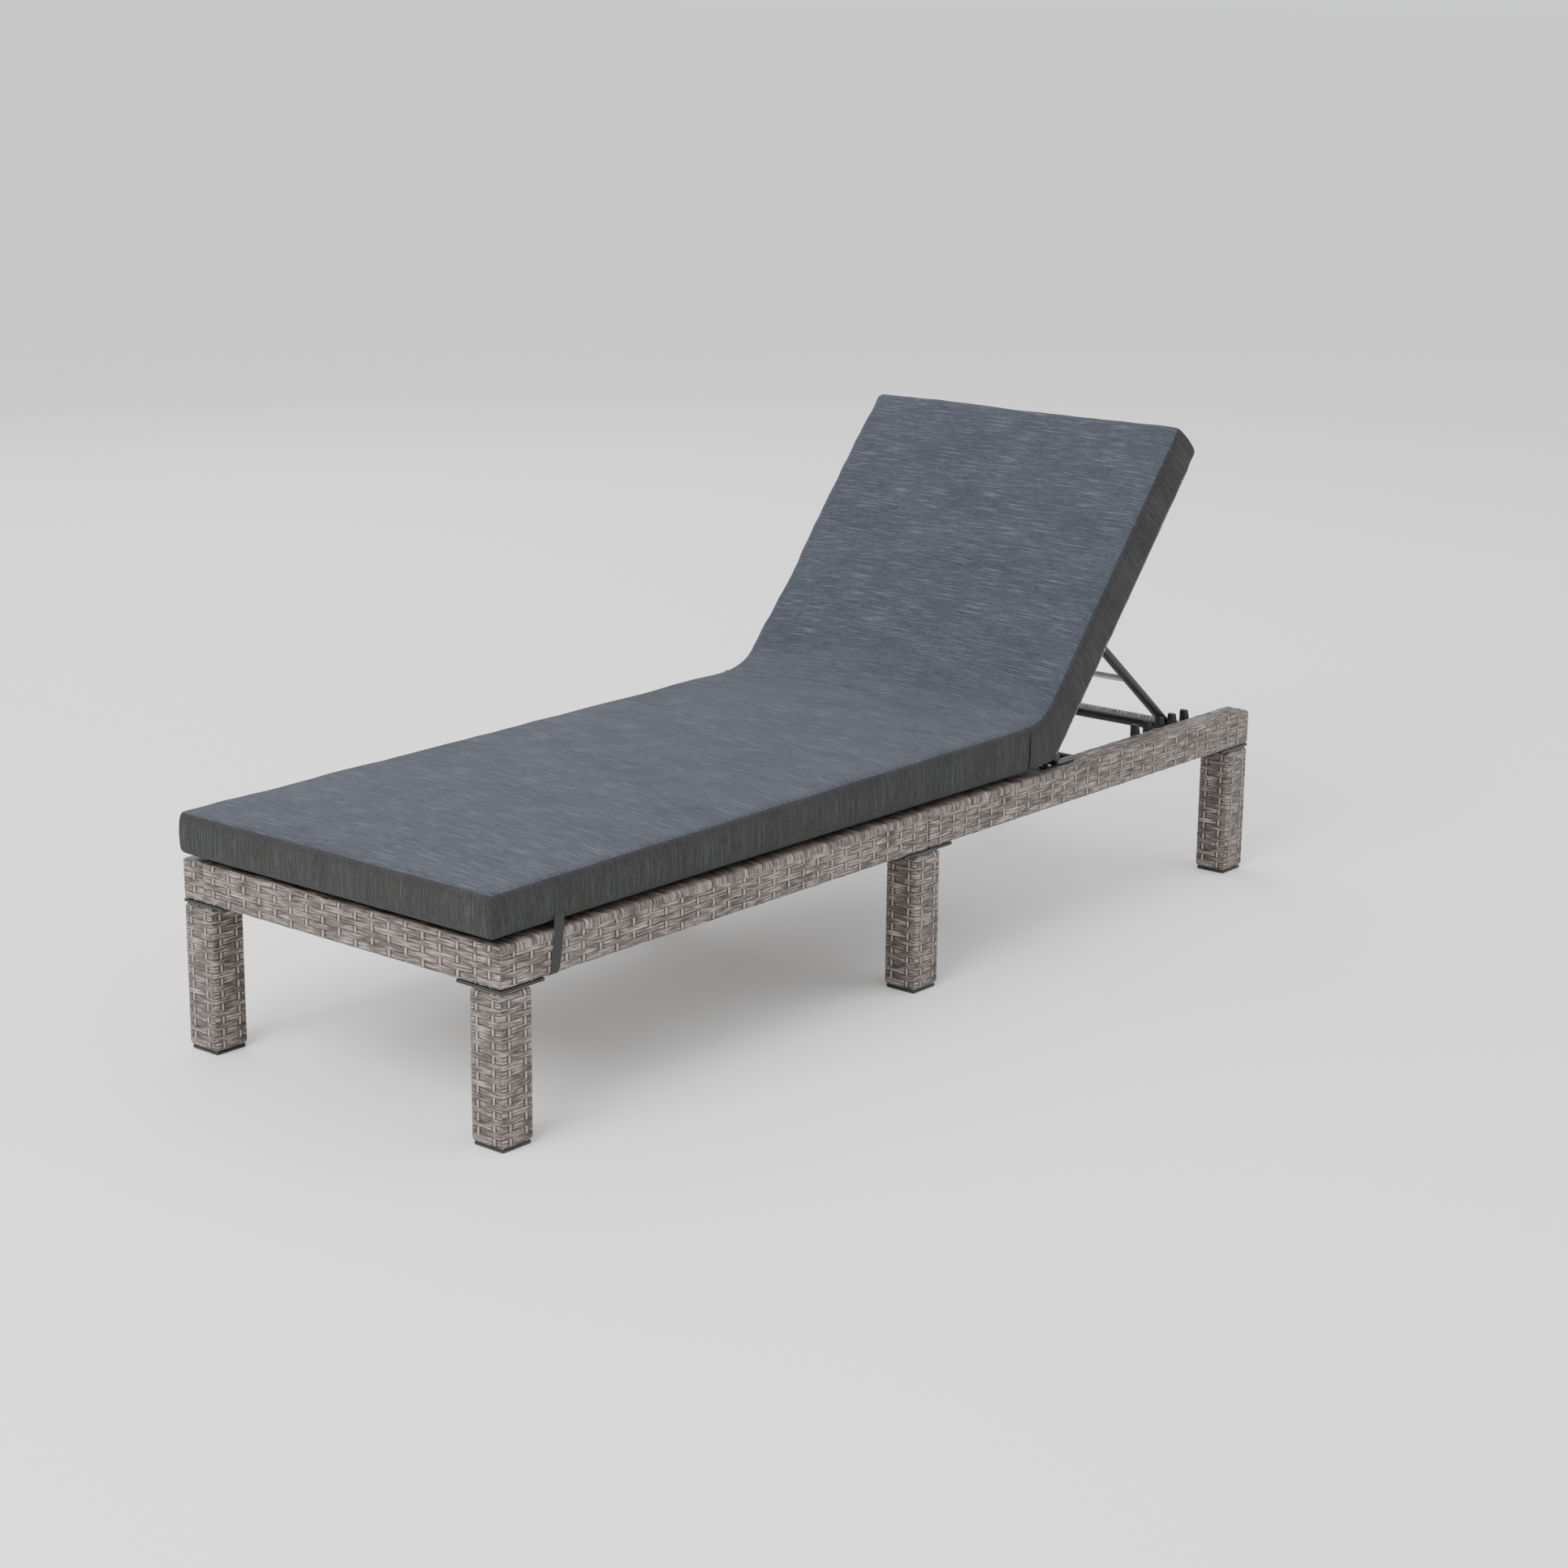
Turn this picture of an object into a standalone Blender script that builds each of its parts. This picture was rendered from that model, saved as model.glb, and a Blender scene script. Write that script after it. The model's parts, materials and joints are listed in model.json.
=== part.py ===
"""Reclining sun lounger: woven frame on six legs, hinged backrest, ratchet stand, cushions.

Metres, +Z up. X runs along the lounger with the foot end at -X, Y across it, and the ground
is Z = 0. The backrest is drawn raised, as it rests in the last notch of its racks.
"""
import math

import bmesh
import bpy
from mathutils import Matrix, Vector

# Frame
FOOT_X = -1.000
HEAD_X = 1.010
SEAM_X = 0.005
HALF_WIDTH = 0.350
RAIL_TOP = 0.314
RAIL_HEIGHT = 0.066
RAIL_THICK = 0.050
WEAVE_WALL = 0.004
TUBE_WALL = 0.0015
RAIL_BOTTOM = RAIL_TOP - RAIL_HEIGHT
RAIL_INNER = HALF_WIDTH - RAIL_THICK
HEAD_CORNER_R = 0.010
GAP = 0.0003

# Legs
LEG = 0.066
LEG_TOP = 0.2405
GLIDE_HEIGHT = 0.006
PLATE_THICK = 0.005
PLATE_REACH = 0.026
MID_PLATE_REACH = 0.031
LEG_Y = HALF_WIDTH - LEG / 2
LEG_X = {"foot": FOOT_X + LEG / 2, "mid": SEAM_X, "head": HEAD_X - LEG / 2}

# Cross members and seat deck
CROSS_R = 0.0125
DECK_END_X = 0.385
DECK_TOP = 0.3133
DECK_THICK = 0.007
DECK_TUBE_X = {"middle": -0.320, "rear": 0.371}
DECK_TUBE_Z = 0.2930
FIXED_TUBE_X = 0.525
FIXED_TUBE_Z = 0.2895
HEAD_TUBE_X = 0.990
HEAD_TUBE_Z = 0.260
HEAD_TUBE_R = 0.012

# Backrest, in its own frame: x up the back, z out of its front, origin on the hinge axis
HINGE = Vector((0.405, 0.0, 0.327))
BACK_ANGLE = math.radians(50)
BACK_LENGTH = 0.605
BACK_TUBE = 0.024
BACK_TUBE_WIDE = 0.014
BACK_TUBE_Y = 0.308
BACK_WALL = 0.002
PANEL_TOP = 0.0205
PANEL_Y = 0.334
PIVOT_AT = 0.250
PIVOT_R = 0.005
PIN_R = 0.004
KNOB_R = 0.0095
EAR_Y = (0.3165, 0.3195)
BRACKET_Y = 0.3335

# Stand, in its own frame: x runs from its pivot down to its foot bar
STAND_LENGTH = 0.3577
STAND_R = 0.0095
STAND_Y = 0.277
STAND_FOOT = Vector((0.8453, 0.0, 0.2950))
BRACE_AT = 0.170
BRACE_SIZE = (0.015, 0.008)

# Racks
RACK_Y = (0.2882, 0.2997)
TOOTH_FIRST_X = 0.700
TOOTH_PITCH = 0.0415
TOOTH_COUNT = 5
TOOTH_HALF = 0.006
TOOTH_SLOPE = 0.013
TOOTH_TOP = 0.330
NOTCH_FLOOR = 0.2855
RACK_BASE = 0.262

# Cushions and straps
CUSHION_Y = 0.345
SEAT_CUSHION_X = (FOOT_X - 0.010, 0.289)
SEAT_CUSHION_Z = (0.3225, 0.402)
BACK_CUSHION_X = (-0.021, 0.633)
BACK_CUSHION_Z = (0.0225, 0.110)
STRAP_X = (-0.892, -0.870)
STRAP_THICK = 0.0018

COLOURS = {
    "polyrattan": ((0.21, 0.185, 0.165), 0.55, 0.0),
    "dark_powder_coat": ((0.018, 0.018, 0.019), 0.45, 0.0),
    "bare_steel_core": ((0.30, 0.30, 0.31), 0.40, 1.0),
    "zinc_steel": ((0.62, 0.62, 0.60), 0.28, 1.0),
    "grey_lacquer": ((0.34, 0.37, 0.34), 0.40, 0.0),
    "black_nylon": ((0.016, 0.016, 0.016), 0.50, 0.0),
    "cushion_fabric": ((0.088, 0.096, 0.110), 0.92, 0.0),
    "strap_webbing": ((0.030, 0.029, 0.029), 0.85, 0.0),
}
SIDES = {"left": -1, "right": 1}


def clear_scene():
    for obj in list(bpy.data.objects):
        bpy.data.objects.remove(obj, do_unlink=True)


def material(name):
    found = bpy.data.materials.get(name)
    if found:
        return found
    colour, roughness, metallic = COLOURS[name]
    made = bpy.data.materials.new(name)
    made.use_nodes = True
    shader = made.node_tree.nodes["Principled BSDF"]
    shader.inputs["Base Color"].default_value = (*colour, 1.0)
    shader.inputs["Roughness"].default_value = roughness
    shader.inputs["Metallic"].default_value = metallic
    return made


def add_object(name, bm, finish=None, parent=None):
    """Turn a bmesh into a linked object, as a part when it has a finish, else as a cutter."""
    bmesh.ops.recalc_face_normals(bm, faces=bm.faces)
    mesh = bpy.data.meshes.new(name)
    bm.to_mesh(mesh)
    bm.free()
    obj = bpy.data.objects.new(name, mesh)
    bpy.context.scene.collection.objects.link(obj)
    obj.parent = parent
    if finish:
        mesh.materials.append(material(finish))
    else:
        obj.hide_render = True
        obj.display_type = "WIRE"
    return obj


def block(low, high, bevel=0.0, segments=2, along=None):
    """A box between two corners; its edges along one axis, or all of them, are rounded."""
    low, high = Vector(low), Vector(high)
    bm = bmesh.new()
    bmesh.ops.create_cube(bm, size=1.0)
    size = high - low
    bmesh.ops.transform(bm, matrix=Matrix.Translation((low + high) / 2) @ Matrix.Diagonal((*size, 1)),
                        verts=bm.verts)
    if bevel:
        edges = list(bm.edges)
        if along is not None:
            edges = [e for e in edges
                     if abs((e.verts[0].co - e.verts[1].co)[along]) > 0.5 * size[along]]
        bmesh.ops.bevel(bm, geom=edges, offset=bevel, segments=segments, profile=0.5,
                        affect="EDGES")
    return bm


def rod(radius, start, end, sides=20):
    """A round bar between two points."""
    start, end = Vector(start), Vector(end)
    bm = bmesh.new()
    bmesh.ops.create_cone(bm, cap_ends=True, segments=sides, radius1=radius, radius2=radius,
                          depth=(end - start).length)
    turn = (end - start).to_track_quat("Z", "Y").to_matrix().to_4x4()
    bmesh.ops.transform(bm, matrix=Matrix.Translation((start + end) / 2) @ turn, verts=bm.verts)
    return bm


def extruded(outline, axis_low, axis_high):
    """An (x, z) outline extruded across the lounger, from one y to another."""
    bm = bmesh.new()
    face = bm.faces.new([bm.verts.new((x, axis_low, z)) for x, z in outline])
    grown = bmesh.ops.extrude_face_region(bm, geom=[face])
    moved = [v for v in grown["geom"] if isinstance(v, bmesh.types.BMVert)]
    bmesh.ops.translate(bm, vec=(0, axis_high - axis_low, 0), verts=moved)
    return bm


def boolean(obj, other, operation):
    step = obj.modifiers.new(operation.title(), "BOOLEAN")
    step.operation = operation
    step.solver = "EXACT"
    step.object = other


def smooth_rounds(obj):
    obj.data.shade_smooth()
    obj.data.set_sharp_from_angle(angle=math.radians(35))


def arc(cx, cz, radius, start, stop, steps):
    """Points on a circle arc, angles in degrees from +x towards +z."""
    angles = [math.radians(start + (stop - start) * i / steps) for i in range(steps + 1)]
    return [(cx + radius * math.cos(a), cz + radius * math.sin(a)) for a in angles]


def y_span(side, inner, outer):
    return sorted((side * inner, side * outer))


def add_side_rails():
    """Each long side is two woven box rails on steel cores, meeting over the middle leg."""
    foot_inner = FOOT_X + WEAVE_WALL
    head_inner = HEAD_X - 0.0115
    for side_name, side in SIDES.items():
        y0, y1 = y_span(side, RAIL_INNER, HALF_WIDTH)
        hollow = {"y0": y0 + WEAVE_WALL, "y1": y1 - WEAVE_WALL,
                  "z0": RAIL_BOTTOM + WEAVE_WALL, "z1": RAIL_TOP - WEAVE_WALL}

        seam_foot = SEAM_X - 0.0005
        bm = block((FOOT_X, y0, RAIL_BOTTOM), (seam_foot, y1, RAIL_TOP), 0.006, 2, along=0)
        sleeve = add_object(f"side_rail_foot_{side_name}", bm, "polyrattan")
        cutter = add_object(f"cut_rail_foot_{side_name}", block(
            (foot_inner, hollow["y0"], hollow["z0"]), (SEAM_X + 0.02, hollow["y1"], hollow["z1"])))
        boolean(sleeve, cutter, "DIFFERENCE")
        add_box_tube(f"rail_core_foot_{side_name}", (foot_inner + GAP, seam_foot),
                     (hollow["y0"] + GAP, hollow["y1"] - GAP),
                     (hollow["z0"] + GAP, hollow["z1"] - GAP))

        seam_head = SEAM_X + 0.0005
        centre_x, centre_z = HEAD_X - HEAD_CORNER_R, RAIL_TOP - HEAD_CORNER_R
        outline = [(seam_head, RAIL_TOP), (seam_head, RAIL_BOTTOM), (HEAD_X, RAIL_BOTTOM)]
        outline += arc(centre_x, centre_z, HEAD_CORNER_R, 0, 90, 6)
        bm = extruded(outline, y0, y1)
        sleeve = add_object(f"side_rail_head_{side_name}", bm, "polyrattan")
        soften = sleeve.modifiers.new("Bevel", "BEVEL")
        soften.width = 0.004
        soften.segments = 2
        soften.limit_method = "ANGLE"
        soften.angle_limit = math.radians(60)
        cutter = add_object(f"cut_rail_head_{side_name}", block(
            (SEAM_X - 0.02, hollow["y0"], hollow["z0"]), (head_inner, hollow["y1"], hollow["z1"])))
        boolean(sleeve, cutter, "DIFFERENCE")
        add_box_tube(f"rail_core_head_{side_name}", (seam_head, head_inner - GAP),
                     (hollow["y0"] + GAP, hollow["y1"] - GAP),
                     (hollow["z0"] + GAP, hollow["z1"] - GAP))


def add_box_tube(name, x_span, y_range, z_range, along=0):
    """A steel box tube with open ends, running along x, y or z."""
    low = Vector((x_span[0], y_range[0], z_range[0]))
    high = Vector((x_span[1], y_range[1], z_range[1]))
    axes = [a for a in range(3) if a != along]
    bm = bmesh.new()
    rings = []
    for inset in (0.0, TUBE_WALL):
        for end in (low[along], high[along]):
            ring = []
            for u, v in ((0, 0), (1, 0), (1, 1), (0, 1)):
                point = Vector((0, 0, 0))
                point[along] = end
                point[axes[0]] = high[axes[0]] - inset if u else low[axes[0]] + inset
                point[axes[1]] = high[axes[1]] - inset if v else low[axes[1]] + inset
                ring.append(bm.verts.new(point))
            rings.append(ring)
    outer_a, outer_b, inner_a, inner_b = rings
    for first, second in ((outer_a, outer_b), (inner_a, inner_b), (outer_a, inner_a),
                          (outer_b, inner_b)):
        for i in range(4):
            j = (i + 1) % 4
            bm.faces.new((first[i], first[j], second[j], second[i]))
    return add_object(name, bm, "bare_steel_core")


def add_foot_rail():
    x0, x1 = FOOT_X, FOOT_X + RAIL_THICK
    reach = RAIL_INNER - GAP
    bm = block((x0, -reach, RAIL_BOTTOM), (x1, reach, RAIL_TOP), 0.006, 2, along=1)
    sleeve = add_object("foot_rail", bm, "polyrattan")
    cutter = add_object("cut_foot_rail", block(
        (x0 + WEAVE_WALL, -HALF_WIDTH, RAIL_BOTTOM + WEAVE_WALL),
        (x1 - WEAVE_WALL, HALF_WIDTH, RAIL_TOP - WEAVE_WALL)))
    boolean(sleeve, cutter, "DIFFERENCE")
    inset = WEAVE_WALL + GAP
    add_box_tube("foot_rail_core", (x0 + inset, x1 - inset), (-reach, reach),
                 (RAIL_BOTTOM + inset, RAIL_TOP - inset), along=1)


def add_legs():
    """Six legs: a woven sleeve on a steel tube, a moulded glide below, a steel plate above."""
    half = LEG / 2
    plate_low = RAIL_BOTTOM - GAP - PLATE_THICK
    for place, x in LEG_X.items():
        for side_name, side in SIDES.items():
            y = side * LEG_Y
            tag = f"{place}_{side_name}"
            bm = block((x - half, y - half, GLIDE_HEIGHT + GAP), (x + half, y + half, LEG_TOP),
                       0.007, 2, along=2)
            sleeve = add_object(f"leg_{tag}", bm, "polyrattan")
            hollow = half - WEAVE_WALL
            cutter = add_object(f"cut_leg_{tag}", block(
                (x - hollow, y - hollow, -0.01), (x + hollow, y + hollow, LEG_TOP + 0.01)))
            boolean(sleeve, cutter, "DIFFERENCE")
            core = hollow - GAP
            add_box_tube(f"leg_core_{tag}", (x - core, x + core), (y - core, y + core),
                         (GLIDE_HEIGHT + GAP, plate_low - GAP), along=2)
            add_glide(tag, x, y)
            add_leg_plate(place, tag, x, y, side, plate_low)


def add_glide(tag, x, y):
    half = LEG / 2 - 0.003
    plug = LEG / 2 - WEAVE_WALL - TUBE_WALL - 3 * GAP
    bm = block((x - half, y - half, 0), (x + half, y + half, GLIDE_HEIGHT), 0.002, 1)
    glide = add_object(f"glide_{tag}", bm, "black_nylon")
    stem = add_object(f"stem_glide_{tag}", block(
        (x - plug, y - plug, 0.003), (x + plug, y + plug, GLIDE_HEIGHT + 0.014)))
    boolean(glide, stem, "UNION")


def add_leg_plate(place, tag, x, y, side, z0):
    """A corner plate is an L under both rails; a middle plate is a bar under the seam."""
    half = LEG / 2 - 0.001
    outer_y, inner_y = y + side * half, y - side * half
    if place == "mid":
        reach = LEG / 2 + MID_PLATE_REACH
        outline = [(x - reach, outer_y), (x + reach, outer_y), (x + reach, inner_y),
                   (x - reach, inner_y)]
    else:
        inward = 1 if place == "foot" else -1
        out_x, in_x = x - inward * half, x + inward * half
        far_x = in_x + inward * PLATE_REACH
        far_y = inner_y - side * PLATE_REACH
        arm_x = out_x + inward * RAIL_THICK
        arm_y = outer_y - side * RAIL_THICK
        outline = [(out_x, outer_y), (far_x, outer_y), (far_x, arm_y), (in_x, arm_y),
                   (in_x, inner_y), (arm_x, inner_y), (arm_x, far_y), (out_x, far_y)]
    bm = bmesh.new()
    face = bm.faces.new([bm.verts.new((px, py, z0)) for px, py in outline])
    grown = bmesh.ops.extrude_face_region(bm, geom=[face])
    moved = [v for v in grown["geom"] if isinstance(v, bmesh.types.BMVert)]
    bmesh.ops.translate(bm, vec=(0, 0, PLATE_THICK), verts=moved)
    add_object(f"leg_plate_{tag}", bm, "dark_powder_coat")


def add_cross_members():
    reach = RAIL_INNER - GAP
    for place, x in DECK_TUBE_X.items():
        tube = add_object(f"deck_tube_{place}", rod(CROSS_R, (x, -reach, DECK_TUBE_Z),
                                                    (x, reach, DECK_TUBE_Z)), "dark_powder_coat")
        smooth_rounds(tube)
    tube = add_object("fixed_cross_tube", rod(CROSS_R, (FIXED_TUBE_X, -reach, FIXED_TUBE_Z),
                                              (FIXED_TUBE_X, reach, FIXED_TUBE_Z)),
                      "dark_powder_coat")
    smooth_rounds(tube)
    tube = add_object("head_cross_tube", rod(HEAD_TUBE_R, (HEAD_TUBE_X, -reach, HEAD_TUBE_Z),
                                             (HEAD_TUBE_X, reach, HEAD_TUBE_Z)), "polyrattan")
    smooth_rounds(tube)


def add_deck():
    reach = RAIL_INNER - GAP
    bm = block((FOOT_X + RAIL_THICK + GAP, -reach, DECK_TOP - DECK_THICK),
               (DECK_END_X, reach, DECK_TOP))
    add_object("seat_deck", bm, "polyrattan")


def add_hinges():
    """Each side: a bent bracket screwed on the rail top, and a pin with a round knob."""
    for side_name, side in SIDES.items():
        base_z = RAIL_TOP + GAP
        y0, y1 = y_span(side, EAR_Y[0], BRACKET_Y)
        base = block((HINGE.x - 0.042, y0, base_z), (HINGE.x + 0.042, y1, base_z + 0.003))
        bracket = add_object(f"hinge_bracket_{side_name}", base, "dark_powder_coat")
        outline = [(HINGE.x - 0.013, base_z + 0.001), (HINGE.x + 0.013, base_z + 0.001)]
        outline += arc(HINGE.x, HINGE.z, 0.012, 0, 180, 10)
        y0, y1 = y_span(side, *EAR_Y)
        ear = add_object(f"ear_{side_name}", extruded(outline, y0, y1))
        boolean(bracket, ear, "UNION")
        bore = add_object(f"cut_bracket_{side_name}", rod(
            PIN_R + GAP, (HINGE.x, side * (EAR_Y[0] - 0.005), HINGE.z),
            (HINGE.x, side * (EAR_Y[1] + 0.005), HINGE.z), 16))
        boolean(bracket, bore, "DIFFERENCE")
        add_hinge_pin(side_name, side)
        screw_x, screw_y = HINGE.x - 0.026, side * (EAR_Y[1] + BRACKET_Y) / 2
        screw = add_object(f"bracket_screw_{side_name}", rod(
            0.0042, (screw_x, screw_y, base_z + 0.003 + GAP),
            (screw_x, screw_y, base_z + 0.0058), 16), "zinc_steel")
        smooth_rounds(screw)


def add_hinge_pin(side_name, side):
    """The pin and its domed knob are one turned piece, spun round the hinge axis."""
    tail, head = BACK_TUBE_Y - BACK_TUBE_WIDE / 2 - 0.0008, EAR_Y[1] + GAP
    profile = [(0.0, tail), (PIN_R, tail), (PIN_R, head), (KNOB_R, head),
               (KNOB_R, head + 0.0052), (KNOB_R * 0.75, head + 0.0074), (0.0, head + 0.0082)]
    bm = bmesh.new()
    verts = [bm.verts.new((HINGE.x + r, side * y, HINGE.z)) for r, y in profile]
    edges = [bm.edges.new(pair) for pair in zip(verts, verts[1:])]
    bmesh.ops.spin(bm, geom=verts + edges, cent=HINGE, axis=(0, 1, 0), angle=2 * math.pi,
                   steps=16, use_merge=True)
    bmesh.ops.remove_doubles(bm, verts=bm.verts, dist=0.00001)
    pin = add_object(f"hinge_pin_{side_name}", bm, "black_nylon")
    smooth_rounds(pin)


def rack_outline():
    """Hooked teeth: upright on the foot side, sloped on the head side, rounded on top."""
    first = TOOTH_FIRST_X
    last = first + TOOTH_PITCH * (TOOTH_COUNT - 1)
    outline = [(last + TOOTH_HALF + TOOTH_SLOPE, RACK_BASE), (first - TOOTH_HALF, RACK_BASE)]
    for i in range(TOOTH_COUNT):
        x = first + TOOTH_PITCH * i
        if i:
            outline.append((x - TOOTH_HALF, NOTCH_FLOOR))
        round_r = 0.004
        outline += arc(x - TOOTH_HALF + round_r, TOOTH_TOP - round_r, round_r, 180, 90, 3)
        outline += arc(x + TOOTH_HALF - round_r, TOOTH_TOP - round_r, round_r, 90, 20, 3)
        outline.append((x + TOOTH_HALF + TOOTH_SLOPE, NOTCH_FLOOR))
    return outline


def add_racks():
    for side_name, side in SIDES.items():
        bm = extruded(rack_outline(), *y_span(side, *RACK_Y))
        add_object(f"stand_rack_{side_name}", bm, "black_nylon")


def add_straps():
    """A webbing strap on each side holds the cushion's foot end down to the rail."""
    for side_name, side in SIDES.items():
        face = HALF_WIDTH + GAP
        under = RAIL_BOTTOM - GAP
        outline = [(face, SEAT_CUSHION_Z[0] + 0.010), (face + STRAP_THICK, SEAT_CUSHION_Z[0] + 0.010),
                   (face + STRAP_THICK, under - STRAP_THICK), (RAIL_INNER + 0.005, under - STRAP_THICK),
                   (RAIL_INNER + 0.005, under), (face, under)]
        bm = bmesh.new()
        ring = bm.faces.new([bm.verts.new((STRAP_X[0], side * y, z)) for y, z in outline])
        grown = bmesh.ops.extrude_face_region(bm, geom=[ring])
        moved = [v for v in grown["geom"] if isinstance(v, bmesh.types.BMVert)]
        bmesh.ops.translate(bm, vec=(STRAP_X[1] - STRAP_X[0], 0, 0), verts=moved)
        add_object(f"cushion_strap_{side_name}", bm, "strap_webbing")


def add_seat_cushion():
    low = (SEAT_CUSHION_X[0], -CUSHION_Y, SEAT_CUSHION_Z[0])
    high = (SEAT_CUSHION_X[1], CUSHION_Y, SEAT_CUSHION_Z[1])
    add_object("seat_cushion", block(low, high, 0.018, 3), "cushion_fabric")


def add_backrest():
    """Everything that tilts is parented to an empty on the hinge axis."""
    hinge = bpy.data.objects.new("backrest_hinge", None)
    bpy.context.scene.collection.objects.link(hinge)
    hinge.location = HINGE
    hinge.rotation_euler = (0, -BACK_ANGLE, 0)

    half, half_wide = BACK_TUBE / 2, BACK_TUBE_WIDE / 2
    for side_name, side in SIDES.items():
        y0, y1 = y_span(side, BACK_TUBE_Y - half_wide, BACK_TUBE_Y + half_wide)
        outline = [(BACK_LENGTH, -half), (BACK_LENGTH, half)] + arc(0, 0, half, 90, 270, 10)
        tube = add_object(f"backrest_side_tube_{side_name}", extruded(outline, y0, y1),
                          "dark_powder_coat", hinge)
        inner, inner_wide = half - BACK_WALL, half_wide - BACK_WALL
        hollow = add_object(f"cut_side_tube_{side_name}", block(
            (0.030, side * BACK_TUBE_Y - inner_wide, -inner),
            (BACK_LENGTH + 0.01, side * BACK_TUBE_Y + inner_wide, inner)), parent=hinge)
        boolean(tube, hollow, "DIFFERENCE")
        bore = add_object(f"cut_pin_hole_{side_name}", rod(
            PIN_R + GAP, (0, side * RAIL_INNER, 0), (0, side * EAR_Y[1], 0), 16), parent=hinge)
        boolean(tube, bore, "DIFFERENCE")

    reach = BACK_TUBE_Y - half_wide - GAP
    add_object("backrest_top_tube", block((BACK_LENGTH - BACK_TUBE, -reach, -half),
                                          (BACK_LENGTH, reach, half), 0.003, 1, along=1),
               "dark_powder_coat", hinge)
    pivot = add_object("stand_pivot_rod", rod(PIVOT_R, (PIVOT_AT, -reach, 0),
                                              (PIVOT_AT, reach, 0), 16), "zinc_steel", hinge)
    smooth_rounds(pivot)
    add_object("backrest_panel", block((0.0, -PANEL_Y, half + GAP),
                                       (BACK_LENGTH, PANEL_Y, PANEL_TOP)),
               "polyrattan", hinge)
    low = (BACK_CUSHION_X[0], -CUSHION_Y, BACK_CUSHION_Z[0])
    high = (BACK_CUSHION_X[1], CUSHION_Y, BACK_CUSHION_Z[1])
    add_object("back_cushion", block(low, high, 0.018, 3), "cushion_fabric", hinge)


def add_stand():
    """A bar across two arms that swing on the pivot rod and drop the bar into the racks."""
    pivot_place = HINGE + Vector((PIVOT_AT * math.cos(BACK_ANGLE), 0, PIVOT_AT * math.sin(BACK_ANGLE)))
    fall = STAND_FOOT - pivot_place
    pivot = bpy.data.objects.new("stand_pivot", None)
    bpy.context.scene.collection.objects.link(pivot)
    pivot.location = pivot_place
    pivot.rotation_euler = (0, math.atan2(-fall.z, fall.x), 0)

    for side_name, side in SIDES.items():
        y = side * STAND_Y
        arm_end = STAND_LENGTH - STAND_R - GAP
        arm = add_object(f"stand_arm_{side_name}", rod(STAND_R, (0.004, y, 0), (arm_end, y, 0), 16),
                         "dark_powder_coat", pivot)
        eye = add_object(f"eye_{side_name}", rod(
            STAND_R + 0.001, (0, y - STAND_R, 0), (0, y + STAND_R, 0), 16), parent=pivot)
        boolean(arm, eye, "UNION")
        bore = add_object(f"cut_arm_{side_name}", rod(
            PIVOT_R + GAP, (0, y - 0.02, 0), (0, y + 0.02, 0), 16), parent=pivot)
        boolean(arm, bore, "DIFFERENCE")

    reach = STAND_Y + STAND_R
    bar = add_object("stand_foot_bar", rod(STAND_R, (STAND_LENGTH, -reach, 0),
                                           (STAND_LENGTH, reach, 0), 16),
                     "dark_powder_coat", pivot)
    smooth_rounds(bar)
    reach = STAND_Y - STAND_R - GAP
    wide, thick = BRACE_SIZE
    add_object("stand_brace", block((BRACE_AT - wide / 2, -reach, -thick / 2),
                                    (BRACE_AT + wide / 2, reach, thick / 2), 0.002, 1, along=1),
               "grey_lacquer", pivot)


def main():
    clear_scene()
    add_side_rails()
    add_foot_rail()
    add_legs()
    add_cross_members()
    add_deck()
    add_hinges()
    add_racks()
    add_straps()
    add_seat_cushion()
    add_backrest()
    add_stand()


main()
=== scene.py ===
"""Reclining sun lounger: woven rattan skins, cushion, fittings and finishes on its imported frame."""
import json
import math

import bmesh
import bpy
import numpy as np
from bpy.props import FloatProperty, FloatVectorProperty, PointerProperty
from mathutils import Euler, Matrix, Vector, noise


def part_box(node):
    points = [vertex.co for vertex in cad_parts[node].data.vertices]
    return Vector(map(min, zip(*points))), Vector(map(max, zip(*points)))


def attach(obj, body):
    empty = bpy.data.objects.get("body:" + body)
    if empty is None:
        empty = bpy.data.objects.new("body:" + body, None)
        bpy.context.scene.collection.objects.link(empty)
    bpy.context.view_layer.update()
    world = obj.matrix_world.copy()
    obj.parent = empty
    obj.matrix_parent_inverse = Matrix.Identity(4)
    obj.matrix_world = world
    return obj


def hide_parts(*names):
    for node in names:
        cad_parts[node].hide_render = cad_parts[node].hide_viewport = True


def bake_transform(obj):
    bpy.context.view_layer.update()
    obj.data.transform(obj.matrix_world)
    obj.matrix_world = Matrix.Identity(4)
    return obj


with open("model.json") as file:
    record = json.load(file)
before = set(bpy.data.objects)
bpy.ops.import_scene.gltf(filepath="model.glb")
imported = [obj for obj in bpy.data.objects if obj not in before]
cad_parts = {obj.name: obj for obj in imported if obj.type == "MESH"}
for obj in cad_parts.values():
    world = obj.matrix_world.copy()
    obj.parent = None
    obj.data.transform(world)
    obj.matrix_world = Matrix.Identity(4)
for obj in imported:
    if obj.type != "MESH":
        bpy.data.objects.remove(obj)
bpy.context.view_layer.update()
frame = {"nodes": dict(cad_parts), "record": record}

bl_info = {
    "name": "Woven Sun Lounger",
    "version": (1, 0, 0),
    "blender": (4, 5, 0),
    "location": "View3D > Sidebar > Lounger",
    "description": "Builds the rattan skins, cushion and fittings of a reclining sun lounger",
    "category": "Object",
}

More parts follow.
